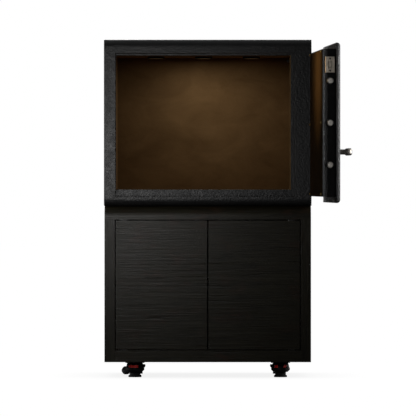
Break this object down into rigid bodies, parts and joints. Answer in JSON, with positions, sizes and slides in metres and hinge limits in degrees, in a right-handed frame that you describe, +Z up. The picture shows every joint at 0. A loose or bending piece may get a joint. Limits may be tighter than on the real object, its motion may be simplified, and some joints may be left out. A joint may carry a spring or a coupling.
{
  "type": "bar armoire",
  "caption": "Black steel safe with a lined, lit inside and a bolted side-hung door, on a black wood cabinet with push-to-open doors and levelling casters.",
  "frame": {"origin": "on the floor under the middle of the cabinet", "axes": "+X to the viewer's right, +Y to the back, +Z up"},
  "size_m": [0.8958, 1.2342, 1.241],
  "materials": {
    "black_powder_coat": "matte",
    "cast_fill": "matte",
    "tan_suede": "matte",
    "black_plastic": "satin",
    "lit_lens": "satin",
    "steel": "satin",
    "satin_nickel": "satin",
    "bright_trim": "polished",
    "brass": "polished",
    "chrome": "polished",
    "black_metal": "satin",
    "keypad_glass": "gloss",
    "black_stained_wood": "satin",
    "caster_black": "satin",
    "caster_wheel": "satin",
    "red_plastic": "satin",
    "foot_rubber": "matte"
  },
  "bodies": {
    "armoire": {"safe_wrap": "black_powder_coat", "safe_side_plates": "black_powder_coat", "safe_back_plate": "black_powder_coat", "strike_jamb": "black_powder_coat", "door_jamb": "black_powder_coat", "fire_fill": "cast_fill", "back_lining": "tan_suede", "side_linings": "tan_suede", "ceiling_lining": "tan_suede", "floor_deck": "tan_suede", "light_housings": "black_plastic", "light_lenses": "lit_lens", "light_sensor": "black_plastic", "hinge_leaves": "black_powder_coat", "hinge_pins": "steel", "anchor_bolts": "steel", "cabinet_sides": "black_stained_wood", "cabinet_top": "black_stained_wood", "cabinet_bottom": "black_stained_wood", "cabinet_back": "black_stained_wood", "shelf": "black_stained_wood", "shelf_pins": "steel", "pivot_plates": "black_metal", "latch_housings": "black_plastic", "caster_plates": "black_metal"},
    "safe_door": {"door_plate": "black_powder_coat", "door_pan": "black_powder_coat", "door_panel": "tan_suede", "panel_trim": "bright_trim", "panel_screws": "brass", "hinge_arms": "black_powder_coat", "lock_case": "satin_nickel", "keypad": "keypad_glass", "handle_rose": "black_metal"},
    "handle": {"handle_spindle": "black_metal", "handle_lever": "chrome", "drive_pinion": "steel"},
    "bolt_work": {"bolt_bar": "steel", "locking_bolts": "satin_nickel"},
    "lock_bolt": {"lock_bolt": "satin_nickel"},
    "cabinet_door_left": {"cabinet_door_left": "black_stained_wood"},
    "cabinet_door_right": {"cabinet_door_right": "black_stained_wood"},
    "latch_plunger_left": {"latch_plunger_left": "black_plastic"},
    "latch_plunger_right": {"latch_plunger_right": "black_plastic"},
    "swivel_front_left": {"caster_housing_front_left": "caster_black"},
    "wheel_front_left": {"caster_wheel_front_left": "caster_wheel"},
    "thumbwheel_front_left": {"caster_thumbwheel_front_left": "red_plastic"},
    "foot_front_left": {"caster_foot_front_left": "foot_rubber"},
    "swivel_front_right": {"caster_housing_front_right": "caster_black"},
    "wheel_front_right": {"caster_wheel_front_right": "caster_wheel"},
    "thumbwheel_front_right": {"caster_thumbwheel_front_right": "red_plastic"},
    "foot_front_right": {"caster_foot_front_right": "foot_rubber"},
    "swivel_back_left": {"caster_housing_back_left": "caster_black"},
    "wheel_back_left": {"caster_wheel_back_left": "caster_wheel"},
    "thumbwheel_back_left": {"caster_thumbwheel_back_left": "red_plastic"},
    "foot_back_left": {"caster_foot_back_left": "foot_rubber"},
    "swivel_back_right": {"caster_housing_back_right": "caster_black"},
    "wheel_back_right": {"caster_wheel_back_right": "caster_wheel"},
    "thumbwheel_back_right": {"caster_thumbwheel_back_right": "red_plastic"},
    "foot_back_right": {"caster_foot_back_right": "foot_rubber"}
  },
  "joints": [
    {"name": "safe_door_hinge", "type": "hinge", "parent": "armoire", "child": "safe_door", "pos_m": [0.397, -0.23, 0.928], "axis": [0, 0, 1], "range_deg": [-92.5, 82.5]},
    {"name": "handle_turn", "type": "hinge", "parent": "safe_door", "child": "handle", "pos_m": [0.45836, -0.7298, 0.826], "axis": [0.999, 0.0436, 0], "range_deg": [0, 90]},
    {"name": "bolt_slide", "type": "slide", "parent": "safe_door", "child": "bolt_work", "axis": [0.0436, -0.999, 0], "range_m": [0, 0.02121]},
    {"name": "lock_bolt_slide", "type": "slide", "parent": "safe_door", "child": "lock_bolt", "axis": [0.0436, -0.999, 0], "range_m": [0, 0.012]},
    {"name": "cabinet_door_left_hinge", "type": "hinge", "parent": "armoire", "child": "cabinet_door_left", "pos_m": [-0.318, -0.246, 0.34], "axis": [0, 0, -1], "range_deg": [0, 105]},
    {"name": "cabinet_door_right_hinge", "type": "hinge", "parent": "armoire", "child": "cabinet_door_right", "pos_m": [0.318, -0.246, 0.34], "axis": [0, 0, 1], "range_deg": [0, 105]},
    {"name": "latch_push_left", "type": "slide", "parent": "armoire", "child": "latch_plunger_left", "axis": [0, 1, 0], "range_m": [0, 0.004], "stiffness_N_per_m": 600},
    {"name": "latch_push_right", "type": "slide", "parent": "armoire", "child": "latch_plunger_right", "axis": [0, 1, 0], "range_m": [0, 0.004], "stiffness_N_per_m": 600},
    {"name": "swivel_front_left_turn", "type": "hinge", "parent": "armoire", "child": "swivel_front_left", "pos_m": [-0.268, -0.179, 0.05], "axis": [0, 0, 1], "continuous": true},
    {"name": "wheel_front_left_spin", "type": "hinge", "parent": "swivel_front_left", "child": "wheel_front_left", "pos_m": [-0.30077, -0.15606, 0.024], "axis": [-0.5736, -0.8192, 0], "continuous": true},
    {"name": "thumbwheel_front_left_turn", "type": "hinge", "parent": "armoire", "child": "thumbwheel_front_left", "pos_m": [-0.268, -0.179, 0.04], "axis": [0, 0, 1], "range_deg": [0, 1800]},
    {"name": "foot_front_left_slide", "type": "slide", "parent": "armoire", "child": "foot_front_left", "axis": [0, 0, 1], "range_m": [0, 0.01]},
    {"name": "swivel_front_right_turn", "type": "hinge", "parent": "armoire", "child": "swivel_front_right", "pos_m": [0.268, -0.179, 0.05], "axis": [0, 0, 1], "continuous": true},
    {"name": "wheel_front_right_spin", "type": "hinge", "parent": "swivel_front_right", "child": "wheel_front_right", "pos_m": [0.268, -0.139, 0.024], "axis": [-1, 0, 0], "continuous": true},
    {"name": "thumbwheel_front_right_turn", "type": "hinge", "parent": "armoire", "child": "thumbwheel_front_right", "pos_m": [0.268, -0.179, 0.04], "axis": [0, 0, 1], "range_deg": [0, 1800]},
    {"name": "foot_front_right_slide", "type": "slide", "parent": "armoire", "child": "foot_front_right", "axis": [0, 0, 1], "range_m": [0, 0.01]},
    {"name": "swivel_back_left_turn", "type": "hinge", "parent": "armoire", "child": "swivel_back_left", "pos_m": [-0.268, 0.179, 0.05], "axis": [0, 0, 1], "continuous": true},
    {"name": "wheel_back_left_spin", "type": "hinge", "parent": "swivel_back_left", "child": "wheel_back_left", "pos_m": [-0.27835, 0.21764, 0.024], "axis": [-0.9659, -0.2588, 0], "continuous": true},
    {"name": "thumbwheel_back_left_turn", "type": "hinge", "parent": "armoire", "child": "thumbwheel_back_left", "pos_m": [-0.268, 0.179, 0.04], "axis": [0, 0, 1], "range_deg": [0, 1800]},
    {"name": "foot_back_left_slide", "type": "slide", "parent": "armoire", "child": "foot_back_left", "axis": [0, 0, 1], "range_m": [0, 0.01]},
    {"name": "swivel_back_right_turn", "type": "hinge", "parent": "armoire", "child": "swivel_back_right", "pos_m": [0.268, 0.179, 0.05], "axis": [0, 0, 1], "continuous": true},
    {"name": "wheel_back_right_spin", "type": "hinge", "parent": "swivel_back_right", "child": "wheel_back_right", "pos_m": [0.288, 0.21364, 0.024], "axis": [-0.866, 0.5, 0], "continuous": true},
    {"name": "thumbwheel_back_right_turn", "type": "hinge", "parent": "armoire", "child": "thumbwheel_back_right", "pos_m": [0.268, 0.179, 0.04], "axis": [0, 0, 1], "range_deg": [0, 1800]},
    {"name": "foot_back_right_slide", "type": "slide", "parent": "armoire", "child": "foot_back_right", "axis": [0, 0, 1], "range_m": [0, 0.01]}
  ],
  "couplings": [
    {"joint": "bolt_slide", "follows": "handle_turn", "m_per_rad": 0.0135},
    {"joint": "foot_front_left_slide", "follows": "thumbwheel_front_left_turn", "m_per_rad": 0.00031831},
    {"joint": "foot_front_right_slide", "follows": "thumbwheel_front_right_turn", "m_per_rad": 0.00031831},
    {"joint": "foot_back_left_slide", "follows": "thumbwheel_back_left_turn", "m_per_rad": 0.00031831},
    {"joint": "foot_back_right_slide", "follows": "thumbwheel_back_right_turn", "m_per_rad": 0.00031831}
  ]
}
